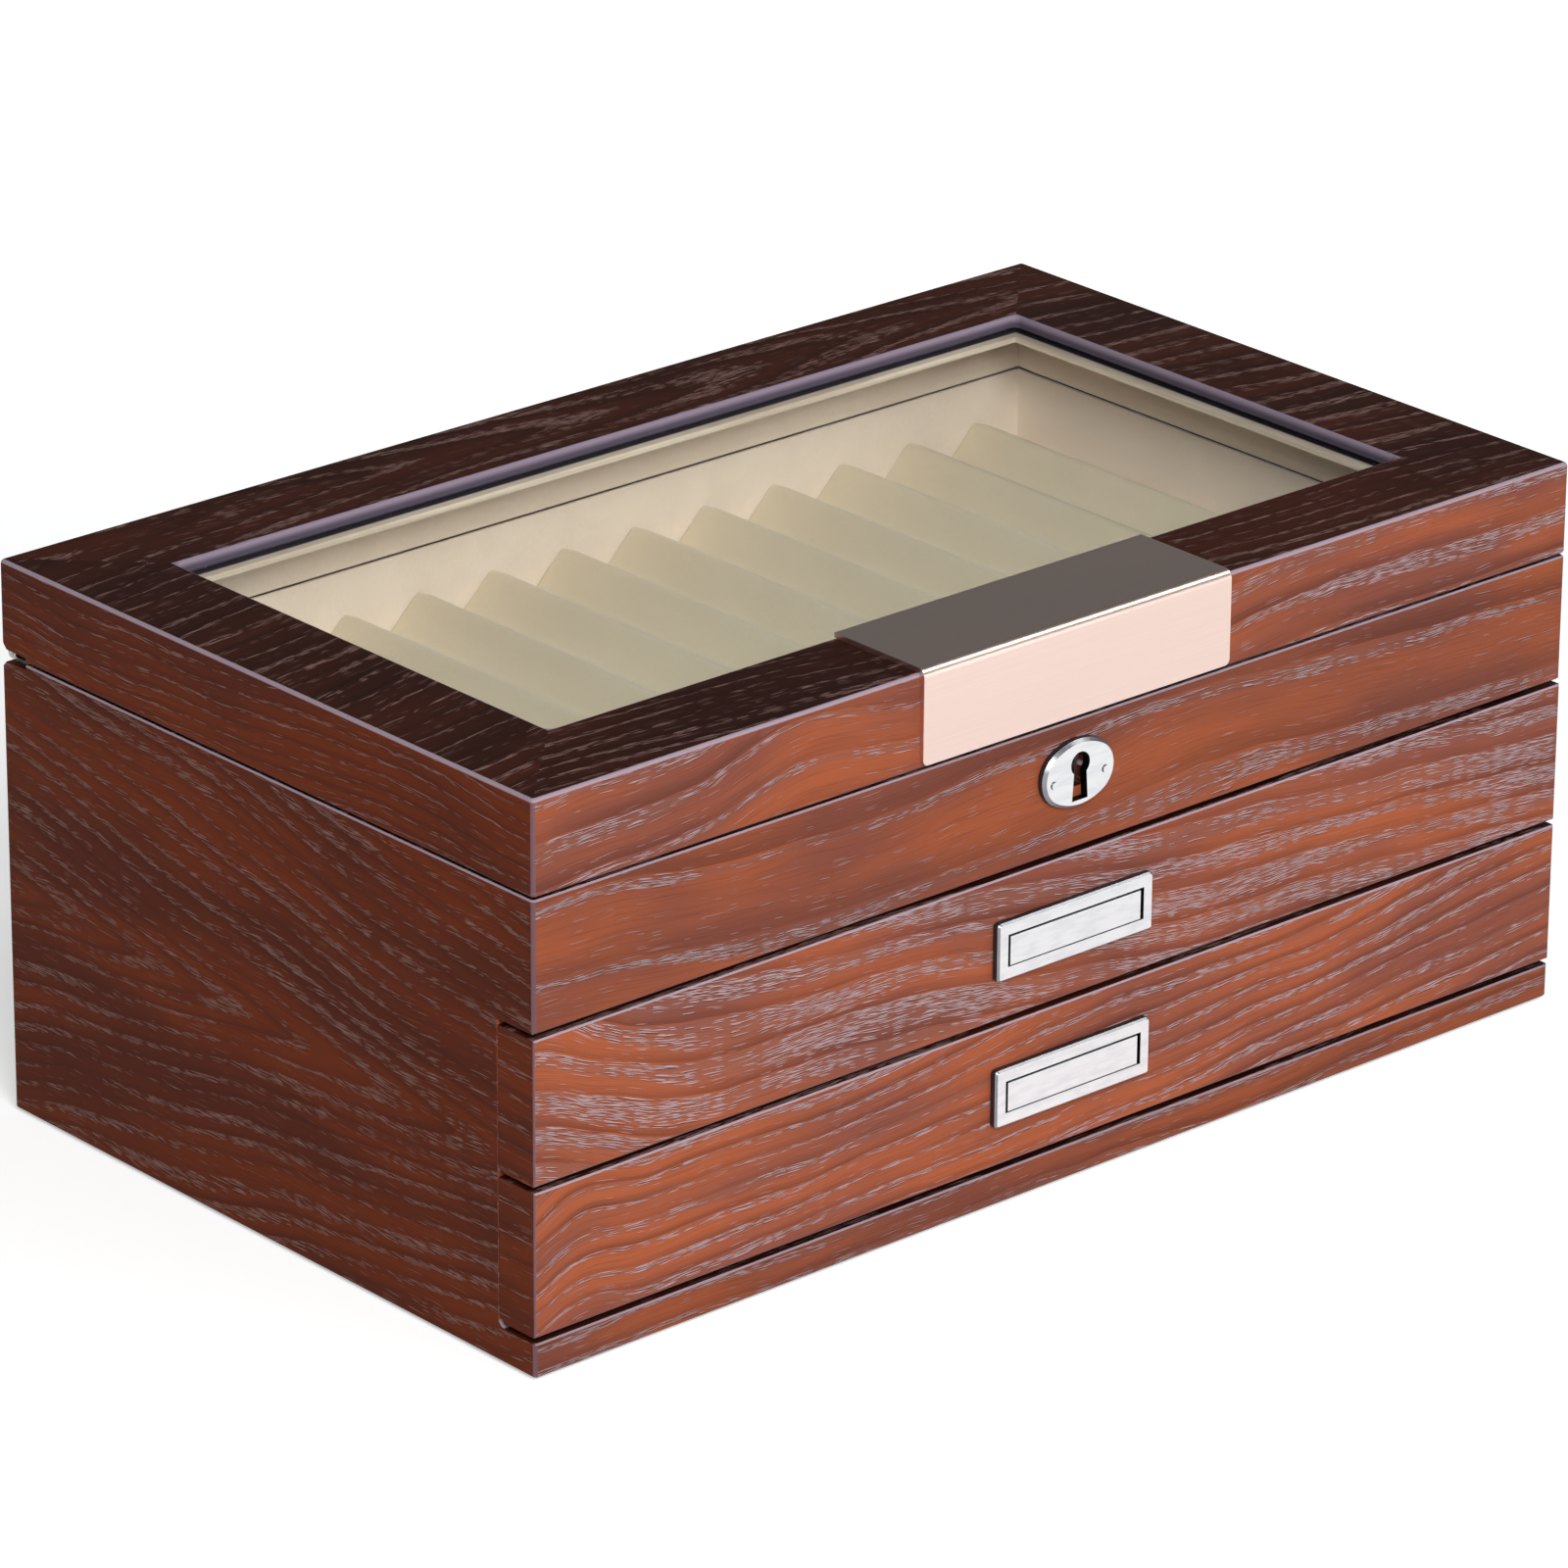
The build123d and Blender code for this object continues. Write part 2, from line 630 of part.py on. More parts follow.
with BuildPart() as escutcheon_pins:
    with BuildSketch(Plane.XZ.offset(half_y + escutcheon_thickness + escutcheon_pin_proud)):
        with Locations((0, escutcheon_z - escutcheon_pin_drop)):
            with GridLocations(escutcheon_pin_spacing, 1, 2, 1):
                Circle(escutcheon_pin_radius)
    extrude(amount=-(escutcheon_pin_proud + escutcheon_thickness + escutcheon_pin_seat))
save(escutcheon_pins, "escutcheon_pins")

# Continuous hinge
save(hinge_leaf(-1, 0), "hinge_case_leaf")
save(hinge_leaf(1, 1), "hinge_lid_leaf")
save(screw_shapes(leaf_screw_planes(-1), 0), "hinge_case_screws")
save(screw_shapes(leaf_screw_planes(1), 0), "hinge_lid_screws")

with BuildPart() as hinge_pin:
    with BuildSketch(Plane.YZ.offset(-hinge_length / 2)):
        with Locations((barrel_y, seam_z)):
            Circle(pin_radius)
    extrude(amount=hinge_length)
save(hinge_pin, "hinge_pin")


# Drawers
box_x = bay_x - drawer_gap
box_inner_x = box_x - drawer_side_thickness
box_back = bay_y - drawer_back_gap
box_inner_back = box_back - drawer_side_thickness
box_middle_y = (front_back + box_back) / 2
front_height = front_pitch - front_seam
opening_width = flap_width + 2 * flap_side_gap
opening_height = flap_height + 2 * flap_end_gap
cup_width = opening_width + 2 * cup_wall
cup_height = opening_height + 2 * cup_wall


def make_drawer(level, seam):
    """One drawer: front, grooved box, lining, pen rest and drop pull."""
    front_bottom = seam + front_seam / 2
    box_bottom = front_bottom + drawer_lift
    panel_bottom = box_bottom + drawer_bottom_lift
    panel_top = panel_bottom + drawer_bottom_thickness
    groove_bottom = box_bottom + runner_lift - runner_fit
    pull_z = front_bottom + front_height / 2
    flap_z = pull_z + flap_offset
    hinge_y = front_face - pull_proud + flap_recess + flap_thickness / 2
    hinge_z = flap_z + flap_height / 2 - flap_thickness / 2

    # The bottom board lies in a groove that runs round the inside of the box
    with BuildPart(mode=Mode.PRIVATE) as panel_slot:
        with Locations((0, front_back - panel_groove, panel_bottom - panel_fit)):
            Box(2 * (box_inner_x + panel_groove),
                box_inner_back - front_back + 2 * panel_groove,
                drawer_bottom_thickness + 2 * panel_fit, align=FRONT_UP)

    with BuildPart() as front:
        with Locations((0, front_face, front_bottom)):
            Box(length, front_thickness, front_height, align=FRONT_UP)
        fillet(front.faces().sort_by(Axis.Y)[0].edges(), front_edge)
        back_edges = front.faces().sort_by(Axis.Y)[-1].edges().filter_by(Axis.X)
        fillet(back_edges.sort_by(Axis.Z)[0], notch_round + front_back_seam)
        with BuildSketch(Plane.XZ.offset(half_y)):
            with Locations((0, flap_z)):
                Rectangle(cup_width + 2 * cup_fit, cup_height + 2 * cup_fit)
        extrude(amount=-(cup_depth + cup_fit), mode=Mode.SUBTRACT)
        add(panel_slot.part, mode=Mode.SUBTRACT)
    save(front, f"{level}_front")

    for side, sign in (("left", -1), ("right", 1)):
        with BuildPart() as box_side:
            with Locations((sign * (box_x - drawer_side_thickness / 2), front_back, box_bottom)):
                Box(drawer_side_thickness, box_back - front_back, drawer_side_height, align=FRONT_UP)
            with Locations((sign * box_x, front_back, groove_bottom)):
                Box(2 * groove_depth, box_back - front_back, runner_height + 2 * runner_fit,
                    align=FRONT_UP, mode=Mode.SUBTRACT)
            add(panel_slot.part, mode=Mode.SUBTRACT)
        save(box_side, f"{level}_side_{side}")

        with BuildPart() as runner:
            runner_front = front_back + front_back_seam
            with Locations((sign * (bay_x - runner_reach / 2), runner_front,
                            groove_bottom + runner_fit)):
                Box(runner_reach, bay_y - runner_front, runner_height, align=FRONT_UP)
        save(runner, f"{level}_runner_{side}")

    with BuildPart() as box_back_board:
        with Locations((0, box_back, box_bottom)):
            Box(2 * box_inner_x, drawer_side_thickness, drawer_side_height, align=BACK_UP)
        add(panel_slot.part, mode=Mode.SUBTRACT)
    save(box_back_board, f"{level}_back")

    with BuildPart() as box_bottom_board:
        with Locations((0, front_back - panel_groove + panel_fit, panel_bottom)):
            Box(2 * (box_inner_x + panel_groove - panel_fit),
                box_inner_back - front_back + 2 * (panel_groove - panel_fit),
                drawer_bottom_thickness, align=FRONT_UP)
    save(box_bottom_board, f"{level}_bottom")

    with BuildPart() as box_lining:
        lining_top = box_bottom + drawer_side_height
        lining_length = box_inner_back - front_back
        with Locations((0, front_back, panel_top)):
            Box(2 * box_inner_x, lining, lining_top - panel_top, align=FRONT_UP)
        with Locations((0, box_inner_back, panel_top)):
            Box(2 * box_inner_x, lining, lining_top - panel_top, align=BACK_UP)
        with Locations((0, (front_back + box_inner_back) / 2, panel_top)):
            with GridLocations(2 * box_inner_x - lining, 1, 2, 1):
                Box(lining, lining_length - 2 * (lining + lining_fit), lining_top - panel_top, align=UP)
    save(box_lining, f"{level}_lining")

    rest_x = box_inner_x - lining - rest_fit
    rest_front = front_back + lining + rest_fit
    rest_back = box_inner_back - lining - rest_fit
    save(rest_board(rest_x, rest_front, rest_back, panel_top, drawer_rest_thickness),
         f"{level}_rest_board")
    save(ridges(rest_x, rest_front, rest_back, panel_top + drawer_rest_thickness),
         f"{level}_rest_ridges")

    with BuildPart() as plate:
        with BuildSketch(Plane.XZ.offset(half_y)):
            with Locations((0, pull_z)):
                RectangleRounded(pull_width, pull_height, pull_corner)
        extrude(amount=pull_proud)
        chamfer(plate.faces().sort_by(Axis.Y)[0].edges(), pull_chamfer)
        with BuildSketch(Plane.XZ.offset(half_y)):
            with Locations((0, flap_z)):
                Rectangle(cup_width, cup_height)
        extrude(amount=-cup_depth)
        with BuildSketch(Plane.XZ.offset(half_y + pull_proud)):
            with Locations((0, flap_z)):
                Rectangle(opening_width, opening_height)
        extrude(amount=-pull_proud, mode=Mode.SUBTRACT)
        with BuildSketch(Plane.XZ.offset(half_y)):
            with Locations((0, flap_z + cup_ledge / 2)):
                Rectangle(opening_width, opening_height - cup_ledge)
        extrude(amount=-(cup_depth - cup_wall), mode=Mode.SUBTRACT)
        with BuildSketch(Plane.YZ.offset(-opening_width / 2 - trunnion_length)):
            with Locations((hinge_y, hinge_z)):
                Circle(trunnion_radius + trunnion_fit)
        extrude(amount=opening_width + 2 * trunnion_length, mode=Mode.SUBTRACT)
    save(plate, f"{level}_pull_plate")

    with BuildPart() as flap:
        with BuildSketch(Plane.YZ.offset(-flap_width / 2)):
            with Locations((hinge_y, hinge_z)):
                Circle(flap_thickness / 2)
                Rectangle(flap_thickness, flap_height - flap_thickness / 2,
                          align=(Align.CENTER, Align.MAX))
        extrude(amount=flap_width)
        trunnion_end = opening_width / 2 + trunnion_length - trunnion_fit
        with BuildSketch(Plane.YZ.offset(-trunnion_end)):
            with Locations((hinge_y, hinge_z)):
                Circle(trunnion_radius)
        extrude(amount=2 * trunnion_end)
    save(flap, f"{level}_pull_flap")


make_drawer("drawer_lower", lower_seam)
make_drawer("drawer_upper", middle_seam)
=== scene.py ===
import math
import bpy
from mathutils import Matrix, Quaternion, Vector


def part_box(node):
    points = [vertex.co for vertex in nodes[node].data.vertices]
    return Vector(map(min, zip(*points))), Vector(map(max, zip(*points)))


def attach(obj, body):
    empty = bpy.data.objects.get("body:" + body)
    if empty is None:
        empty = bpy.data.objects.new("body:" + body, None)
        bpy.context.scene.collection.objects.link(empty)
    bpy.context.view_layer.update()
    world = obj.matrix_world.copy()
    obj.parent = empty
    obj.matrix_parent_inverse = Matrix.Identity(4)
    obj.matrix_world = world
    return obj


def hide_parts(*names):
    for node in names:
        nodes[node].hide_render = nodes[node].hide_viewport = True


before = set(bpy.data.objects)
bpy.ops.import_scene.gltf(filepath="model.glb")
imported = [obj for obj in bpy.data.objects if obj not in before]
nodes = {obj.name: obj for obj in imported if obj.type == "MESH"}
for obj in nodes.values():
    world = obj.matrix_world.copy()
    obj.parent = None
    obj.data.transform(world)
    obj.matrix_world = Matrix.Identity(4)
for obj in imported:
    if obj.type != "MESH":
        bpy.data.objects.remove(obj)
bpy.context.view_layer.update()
mm = 0.001
print("frame loaded:", len(nodes), "nodes")


def put(tree, kind, **options):
    made = tree.nodes.new("ShaderNode" + kind)
    for name, value in options.items():
        setattr(made, name, value)
    return made


def feed(tree, socket, value):
    if isinstance(value, bpy.types.NodeSocket):
        tree.links.new(value, socket)
    else:
        socket.default_value = value


def calc(tree, operation, *values, clamp=False):
    made = put(tree, "Math", operation=operation, use_clamp=clamp)
    for n, value in enumerate(values):
        feed(tree, made.inputs[n], value)
    return made.outputs[0]


def vectorCalc(tree, operation, *values):
    made = put(tree, "VectorMath", operation=operation)
    for n, value in enumerate(values):
        feed(tree, made.inputs[n], value)
    return made.outputs[0]


def split(tree, vector):
    made = put(tree, "SeparateXYZ")
    feed(tree, made.inputs[0], vector)
    return made.outputs


def join(tree, x, y, z=0.0):
    made = put(tree, "CombineXYZ")
    for socket, value in zip(made.inputs, (x, y, z)):
        feed(tree, socket, value)
    return made.outputs[0]


def mixColour(tree, factor, a, b, blend="MIX"):
    made = put(tree, "Mix", data_type="RGBA", blend_type=blend)
    feed(tree, made.inputs["Factor"], factor)
    feed(tree, made.inputs[6], a)
    feed(tree, made.inputs[7], b)
    return made.outputs[2]


def mixVector(tree, factor, a, b):
    made = put(tree, "Mix", data_type="VECTOR")
    feed(tree, made.inputs["Factor"], factor)
    feed(tree, made.inputs[4], a)
    feed(tree, made.inputs[5], b)
    return made.outputs[1]


def noise(tree, vector, scale=1.0, detail=2.0, roughness=0.5, distortion=0.0):
    made = put(tree, "TexNoise")
    feed(tree, made.inputs["Vector"], vector)
    feed(tree, made.inputs["Scale"], scale)
    feed(tree, made.inputs["Detail"], detail)
    feed(tree, made.inputs["Roughness"], roughness)
    feed(tree, made.inputs["Distortion"], distortion)
    return made.outputs["Fac"]


def stretched(tree, u, v, w, alongScale, acrossScale, detail=2.0, shift=0.0):
    return noise(tree, join(tree, calc(tree, "MULTIPLY", u, alongScale), calc(tree, "MULTIPLY", v, acrossScale),
                            calc(tree, "ADD", w, shift)), detail=detail)


def ease(tree, value, low, high, toLow=0.0, toHigh=1.0):
    made = put(tree, "MapRange", interpolation_type="SMOOTHSTEP")
    for socket, number in zip(made.inputs, (value, low, high, toLow, toHigh)):
        feed(tree, socket, number)
    return made.outputs[0]


def linear(red, green, blue):
    def one(value):
        value /= 255
        return value / 12.92 if value <= 0.04045 else ((value + 0.055) / 1.055) ** 2.4
    return (one(red), one(green), one(blue), 1.0)


def newMaterial(name):
    material = bpy.data.materials.new(name)
    material.use_nodes = True
    return material, material.node_tree, material.node_tree.nodes["Principled BSDF"]


def bump(tree, height, strength, distance):
    made = put(tree, "Bump")
    feed(tree, made.inputs["Strength"], strength)
    feed(tree, made.inputs["Distance"], distance)
    feed(tree, made.inputs["Height"], height)
    return made.outputs[0]


def dress(name, material):
    node = nodes[name]
    node.data.materials.clear()
    node.data.materials.append(material)


def objectMillimetres(tree):
    place = put(tree, "TexCoord")
    return vectorCalc(tree, "MULTIPLY", place.outputs["Object"], (1000, 1000, 1000)), place.outputs["Normal"]


# Stained ash: growth rings cut by each face, with open pores as pale dashes, partly pale filler and partly a painted
# highlight, and a dark dash beside each as painted shade on its wall
veneer = {
    # The top and side colours are darker than the front's: partly a darker stain, partly painted shade for light that
    # falls mostly on the front
    "front": {"warm": linear(150, 79, 50), "rose": linear(122, 68, 54), "late": linear(72, 38, 33),
              "band": linear(112, 78, 72), "poreFillHighlight": linear(170, 148, 152), "poreWallShade": linear(42, 23, 22)},
    "top": {"warm": linear(66, 28, 15), "rose": linear(48, 20, 12), "late": linear(28, 11, 7),
            "band": linear(48, 22, 16), "poreFillHighlight": linear(150, 116, 110), "poreWallShade": linear(18, 8, 6)},
    "side": {"warm": linear(102, 40, 10), "rose": linear(80, 30, 11), "late": linear(54, 19, 10),
             "band": linear(74, 30, 19), "poreFillHighlight": linear(136, 100, 90), "poreWallShade": linear(26, 9, 7)},
    # Painted highlight colours for the rounded edges, palest where they face up
    "edge": linear(106, 82, 90), "edgeTopHighlight": linear(160, 144, 156),
    "windowDark": linear(78, 70, 84), "windowHighlight": linear(132, 118, 134),
    "windowX": 135.25, "windowY": 68.25, "rebate": 5.0, "lidTop": 143.2, "glassTop": 140.2,
    "roughness": 0.34, "specular": 0.06, "poreDepth": 0.00012,
    "meander": 7.0, "meanderQuick": 0.8,
    "vessels": ((8.0, 0.46, 0.0), (4.6, 0.36, 31.0)),       # cell length, cell width, offset
    "wobble": 0.7, "strayPores": 0.045, "archReach": 12.0, "archPoint": 0.25,
    "late": 0.55, "bands": 0.38, "streaks": 0.34, "poreWallShades": 0.72, "poreFillHighlights": 0.82, "rims": 0.85,     # how much each shows
}


def figureGroup():
    group = bpy.data.node_groups.new("ash_figure", "ShaderNodeTree")
    face = group.interface
    # Rings: pith, tilt, spacing.  Hump: height, place, width.  Cone: depth, taper, share of a ring that holds pores.
    for name in ("Place", "Rings", "Hump", "Cone"):
        face.new_socket(name, in_out="INPUT", socket_type="NodeSocketVector")
    for name in ("PoreFillHighlights", "PoreWallShades", "Band", "Late", "Tone", "Streak"):
        face.new_socket(name, in_out="OUTPUT", socket_type="NodeSocketFloat")
    start = group.nodes.new("NodeGroupInput").outputs
    end = group.nodes.new("NodeGroupOutput").inputs
    u, v, w = split(group, start["Place"])[:3]
    pith, tilt, spacing = split(group, start["Rings"])[:3]
    height, humpAt, humpWidth = split(group, start["Hump"])[:3]
    depth, taper, fill = split(group, start["Cone"])[:3]

    away = calc(group, "DIVIDE", calc(group, "SUBTRACT", u, humpAt), humpWidth)
    hump = calc(group, "MULTIPLY", height, calc(group, "EXPONENT", calc(group, "MULTIPLY", calc(
        group, "MULTIPLY", away, away), -1.0)))
    slow = calc(group, "SUBTRACT", stretched(group, u, v, w, 0.010, 0.018, 1.0), 0.5)
    quick = calc(group, "SUBTRACT", stretched(group, u, v, w, 0.055, 0.11, 1.0, 5.0), 0.5)
    curve = calc(group, "ADD", calc(group, "ADD", hump, calc(group, "MULTIPLY", u, tilt)),
                 calc(group, "ADD", calc(group, "MULTIPLY", slow, veneer["meander"] * 2),
                      calc(group, "MULTIPLY", quick, veneer["meanderQuick"] * 2)))
    grain = calc(group, "SUBTRACT", v, curve)       # height above the curved fibres
    across = calc(group, "SUBTRACT", grain, pith)
    ring = calc(group, "SQRT", calc(group, "ADD", calc(group, "MULTIPLY", across, across),
                                    calc(group, "MULTIPLY", depth, depth)))
    ring = calc(group, "ADD", ring, calc(group, "MULTIPLY", u, taper))
    pointed = calc(group, "SUBTRACT", calc(group, "MINIMUM", calc(group, "ABSOLUTE", across), veneer["archReach"]),
                   veneer["archReach"])
    ring = calc(group, "ADD", ring, calc(group, "MULTIPLY", pointed, veneer["archPoint"]))      # arches come to a point
    turn = calc(group, "DIVIDE", ring, spacing)
    share = calc(group, "FRACT", turn)
    number = calc(group, "FLOOR", turn)
    vary = noise(group, join(group, calc(group, "MULTIPLY", number, 3.7), w, calc(group, "MULTIPLY", u, 0.012)),
                 detail=0.0)
    width = calc(group, "MULTIPLY", fill, ease(group, vary, 0.3, 0.7, 0.55, 1.35))
    band = calc(group, "MULTIPLY", ease(group, share, 0.0, 0.07), ease(group, share, width, calc(
        group, "MULTIPLY", width, 0.55)))
    late = calc(group, "MULTIPLY", ease(group, share, 0.60, 1.0), ease(group, vary, 0.35, 0.65, 0.45, 1.0))
    patch = stretched(group, u, grain, w, 0.022, 0.10, 2.0, 9.0)
    dense = calc(group, "ADD", calc(group, "MULTIPLY", band, ease(group, patch, 0.36, 0.62, 0.15, 1.0)),
                 veneer["strayPores"])
    wobble = calc(group, "SUBTRACT", stretched(group, u, grain, w, 0.09, 0.5, 1.0, 2.0), 0.5)
    wobble = calc(group, "MULTIPLY", wobble, veneer["wobble"])
    poreFillHighlights = poreWallShades = None
    for length, thickness, offset in veneer["vessels"]:
        spot = join(group, calc(group, "ADD", calc(group, "DIVIDE", u, length), calc(group, "ADD", w, offset)),
                    calc(group, "ADD", calc(group, "DIVIDE", calc(group, "ADD", grain, wobble), thickness), w))
        cells = put(group, "TexVoronoi", voronoi_dimensions="2D", feature="F1")
        feed(group, cells.inputs["Vector"], spot)
        cells.inputs["Scale"].default_value = 1.0
        cells.inputs["Randomness"].default_value = 0.95
        chance, stretch = split(group, cells.outputs["Color"])[:2]
        local = split(group, vectorCalc(group, "SUBTRACT", spot, cells.outputs["Position"]))
        along = calc(group, "DIVIDE", local[0], calc(group, "ADD", 0.22, calc(group, "MULTIPLY", stretch, 0.36)))
        present = ease(group, calc(group, "SUBTRACT", dense, chance), -0.04, 0.10)

        def dash(centre, half):
            offCentre = calc(group, "DIVIDE", calc(group, "SUBTRACT", local[1], centre), half)
            distance = calc(group, "SQRT", calc(group, "ADD", calc(group, "MULTIPLY", along, along),
                                                calc(group, "MULTIPLY", offCentre, offCentre)))
            return calc(group, "MULTIPLY", ease(group, distance, 1.15, 0.55), present)

        # The pale dash is pale filler with a painted highlight on the pore's lit wall; the dark dash just below it is
        # painted shade on its shaded wall
        pale, dark = dash(0.0, 0.24), dash(-0.44, 0.26)
        poreFillHighlights = pale if poreFillHighlights is None else calc(group, "MAXIMUM", poreFillHighlights, pale)
        poreWallShades = dark if poreWallShades is None else calc(group, "MAXIMUM", poreWallShades, dark)
    tone = stretched(group, u, grain, w, 0.011, 0.045, 2.0, 4.0)
    streak = stretched(group, u, grain, w, 0.045, 2.4, 3.0)
    for name, value in (("PoreFillHighlights", poreFillHighlights), ("PoreWallShades", poreWallShades), ("Band", band), ("Late", late), ("Tone", tone),
                        ("Streak", streak)):
        feed(group, end[name], value)
    return group


ashFigure = figureGroup()


def cut(pith=400.0, tilt=0.0, spacing=8.0, hump=(0.0, 0.0, 30.0), depth=8.0, taper=0.0, fill=0.42):
    return (pith, tilt, spacing), hump, (depth, taper, fill)


def veneerMaterial(name, seed, front=cut(), top=cut(), side=cut(), inLid=False, light=1.0):
    material, tree, shader = newMaterial("ash_" + name)
    place, normal = objectMillimetres(tree)
    x, y, z = split(tree, place)[:3]
    size = split(tree, vectorCalc(tree, "ABSOLUTE", normal))
    biggest = calc(tree, "MAXIMUM", calc(tree, "MAXIMUM", size[0], size[1]), size[2])
    isTop = calc(tree, "GREATER_THAN", size[2], calc(tree, "MAXIMUM", size[0], size[1]))
    isSide = calc(tree, "MULTIPLY", calc(tree, "GREATER_THAN", size[0], size[1]), calc(tree, "SUBTRACT", 1.0, isTop))

    def perFace(mixer, onFront, onTop, onSide):
        return mixer(tree, isSide, mixer(tree, isTop, onFront, onTop), onSide)

    figure = put(tree, "Group", node_tree=ashFigure)
    feed(tree, figure.inputs[0], perFace(mixVector, join(tree, x, z, seed), join(tree, x, y, seed + 17.3),
                                         join(tree, y, z, seed + 41.9)))
    for n in range(3):
        feed(tree, figure.inputs[n + 1], perFace(mixVector, front[n], top[n], side[n]))
    poreFillHighlights, poreWallShades, band, late, tone, streak = figure.outputs[:6]

    # Each face's stain, with the top and sides also darkened as painted shade
    def faceStainAndShade(which):
        return perFace(mixColour, veneer["front"][which], veneer["top"][which], veneer["side"][which])

    colour = mixColour(tree, ease(tree, tone, 0.36, 0.64), faceStainAndShade("warm"), faceStainAndShade("rose"))
    for where, share, layer in ((late, "late", "late"), (band, "bands", "band"),
                                (ease(tree, streak, 0.45, 0.75), "streaks", "late"),
                                (poreWallShades, "poreWallShades", "poreWallShade"), (poreFillHighlights, "poreFillHighlights", "poreFillHighlight")):
        colour = mixColour(tree, calc(tree, "MULTIPLY", where, veneer[share]), colour, faceStainAndShade(layer))
    # The rounded edges, where no face of the board is square to an axis, get a paler lilac line: a painted highlight,
    # palest where the edges face up
    rim = mixColour(tree, ease(tree, split(tree, normal)[2], 0.15, 0.5), veneer["edge"], veneer["edgeTopHighlight"])
    colour = mixColour(tree, calc(tree, "MULTIPLY", ease(tree, biggest, 0.985, 0.93), veneer["rims"]), colour, rim)
    if light != 1.0:
        colour = mixColour(tree, 1.0, colour, (light, light, light, 1.0), "MULTIPLY")
    if inLid:
        away = split(tree, vectorCalc(tree, "ABSOLUTE", place))

        def within(margin):
            return calc(tree, "MULTIPLY", calc(tree, "LESS_THAN", away[0], veneer["windowX"] + margin),
                        calc(tree, "LESS_THAN", away[1], veneer["windowY"] + margin))

        rebate = calc(tree, "MULTIPLY", within(veneer["rebate"] + 0.5),
                      calc(tree, "LESS_THAN", z, veneer["glassTop"] + 0.1))
        inside = calc(tree, "MAXIMUM", within(0.8), rebate)
        # The window's inner faces and the rebate: dark stained end grain, paling toward the top of the lip as a painted
        # highlight
        lip = mixColour(tree, ease(tree, z, veneer["lidTop"] - 2.2, veneer["lidTop"] - 0.5), veneer["windowDark"],
                        veneer["windowHighlight"])
        colour = mixColour(tree, inside, colour, lip)
    feed(tree, shader.inputs["Base Color"], colour)
    feed(tree, shader.inputs["Roughness"], calc(tree, "ADD", veneer["roughness"], calc(
        tree, "MULTIPLY", streak, 0.10)))
    shader.inputs["Specular IOR Level"].default_value = veneer["specular"]
    feed(tree, shader.inputs["Normal"], bump(tree, calc(tree, "MULTIPLY", poreWallShades, -1.0), 0.5, veneer["poreDepth"]))
    return material


boards = {
    "lid_rail_left": dict(seed=3.0, inLid=True, top=cut(tilt=0.12, spacing=7.0, fill=0.30),
                          side=cut(tilt=-0.01, spacing=3.6, fill=0.30)),
    "lid_rail_right": dict(seed=9.0, inLid=True, top=cut(tilt=-0.2, spacing=9.0, fill=0.35),
                           side=cut(spacing=4.0, fill=0.32)),
    "lid_rail_back": dict(seed=14.0, inLid=True, front=cut(tilt=0.03, spacing=9.0),
                          top=cut(pith=84.0, tilt=-0.04, spacing=6.0, depth=10.0, taper=0.12, fill=0.45)),
    "lid_rail_front": dict(seed=21.0, inLid=True, light=0.92,
                           front=cut(tilt=0.03, spacing=10.5, hump=(6.0, -85.0, 24.0), fill=0.40),
                           top=cut(tilt=-0.09, spacing=5.5, fill=0.42)),
    "front_rail": dict(seed=27.0, light=0.82,
                       front=cut(tilt=-0.02, spacing=19.0, hump=(-5.0, -85.0, 50.0), fill=0.30),
                       top=cut(spacing=8.0)),
    "base_rail": dict(seed=35.0, light=0.75, front=cut(tilt=0.01, spacing=6.5, fill=0.40)),
    "case_side_left": dict(seed=43.0,
                           side=cut(pith=57.0, tilt=0.03, spacing=5.0, depth=6.0, taper=-0.17, fill=0.50)),
    "case_side_right": dict(seed=52.0,
                            side=cut(pith=70.0, tilt=-0.10, spacing=4.6, depth=12.0, taper=0.17, fill=0.42)),
    "case_back": dict(seed=61.0, front=cut(pith=62.0, tilt=0.05, spacing=4.6, depth=14.0, taper=0.12, fill=0.42)),
    "drawer_upper_front": dict(seed=70.0, front=cut(tilt=-0.085, spacing=8.2, hump=(13.0, -170.0, 32.0), fill=0.78),
                               side=cut(spacing=7.0, fill=0.25)),
    "drawer_lower_front": dict(seed=83.0, front=cut(tilt=0.06, spacing=5.6, hump=(6.0, -152.0, 14.0), fill=0.36),
                               side=cut(spacing=7.0, fill=0.25)),
}
for name, board in boards.items():
    dress(name, veneerMaterial(name, **board))
print("veneer done")

# Drawer wood, the cream beads that hold the glass, metals and glass
plainWood = {"light": linear(176, 140, 100), "dark": linear(140, 104, 70), "roughness": 0.55}
beadWood = {"light": linear(220, 204, 184), "dark": linear(198, 180, 160), "roughness": 0.6,
            "under": linear(44, 38, 46), "lap": (2.2, 2.6)}     # the dark top, and how far past the window it starts
metals = {
    "steel": {"colour": linear(196, 192, 186), "lines": (0.05, 3.0, 3.0), "roughness": 0.34, "streaks": 0.25},
    # The stainless is tinted pink: a painted reflection of warm surroundings, not the metal's own colour
    "stainless": {"colour": linear(240, 213, 203), "lines": (0.02, 7.0, 7.0), "roughness": 0.30, "streaks": 0.22},
    "chrome": {"light": linear(240, 240, 242), "dark": linear(230, 231, 235), "inside": linear(16, 16, 18),
               "rim": linear(84, 84, 90), "roughness": 0.05, "dull": 0.4},
}
